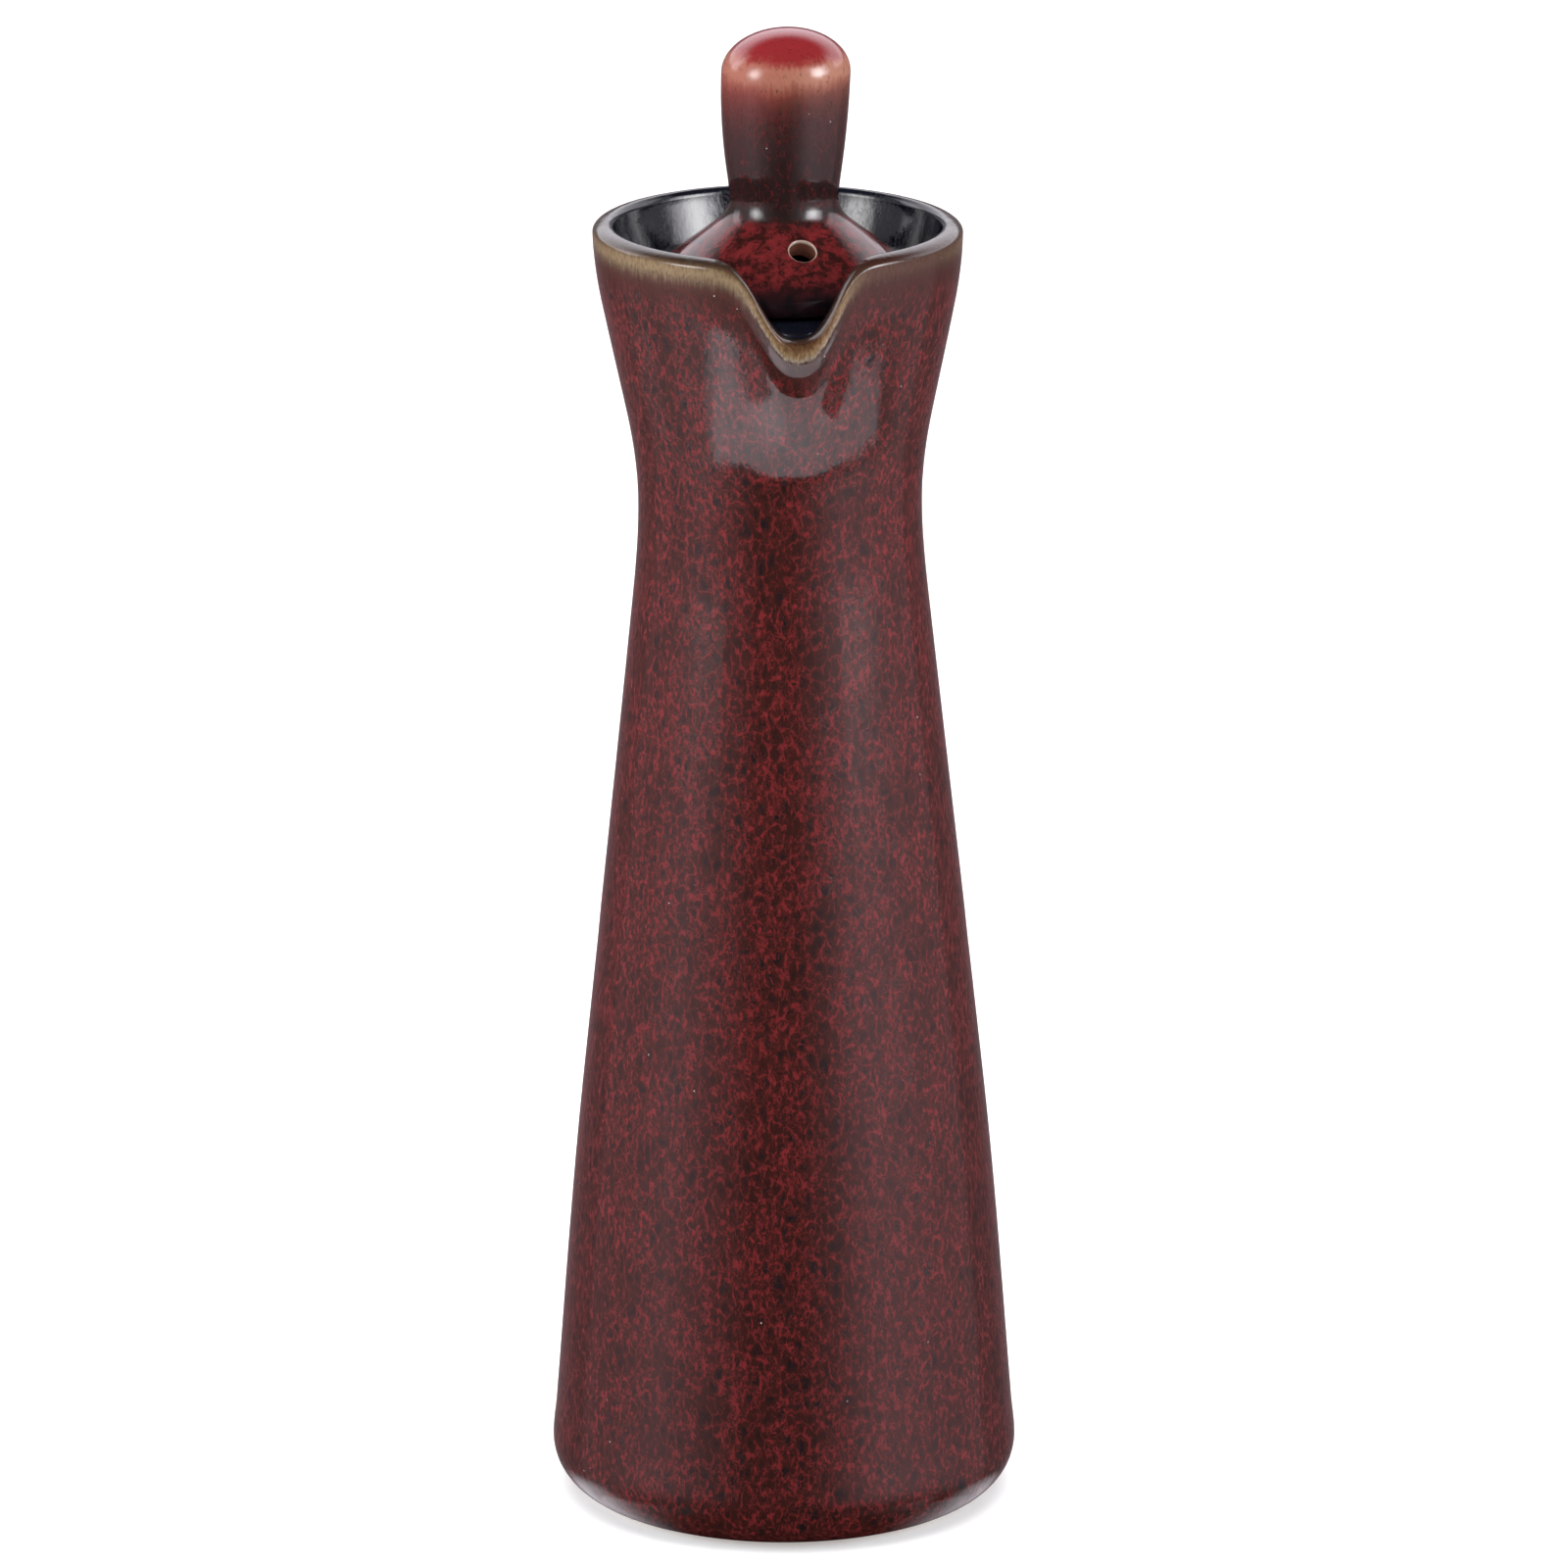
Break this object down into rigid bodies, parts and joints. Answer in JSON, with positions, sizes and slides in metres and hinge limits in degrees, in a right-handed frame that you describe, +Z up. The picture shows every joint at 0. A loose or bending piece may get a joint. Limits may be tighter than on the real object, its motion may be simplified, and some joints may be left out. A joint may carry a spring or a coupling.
{
  "type": "sake bottle",
  "caption": "Tall tapering glazed ceramic sake bottle with a drawn-in neck, a V-shaped pouring spout and a lift-off stopper lid with a tall knob and a pouring hole.",
  "frame": {"origin": "centre of the foot ring, on the surface the bottle stands on", "axes": "+Z up along the bottle, -Y towards the pouring spout, +X to the right seen from the spout side"},
  "size_m": [0.075, 0.075, 0.239],
  "materials": {
    "body_glaze": "glossy kiln glaze, crimson veins on near-black brown, breaking to tan at the rim and black inside",
    "lid_glaze": "glossy kiln glaze, crimson dome with a tan ring, fading down to near-black brown and crimson flecks"
  },
  "bodies": {
    "bottle": {"bottle_body": "body_glaze"},
    "stopper": {"lid": "lid_glaze"}
  },
  "joints": [
    {"name": "lid_lift", "type": "slide", "parent": "bottle", "child": "stopper", "axis": [0, 0, 1], "range_m": [0, 0.06]}
  ]
}
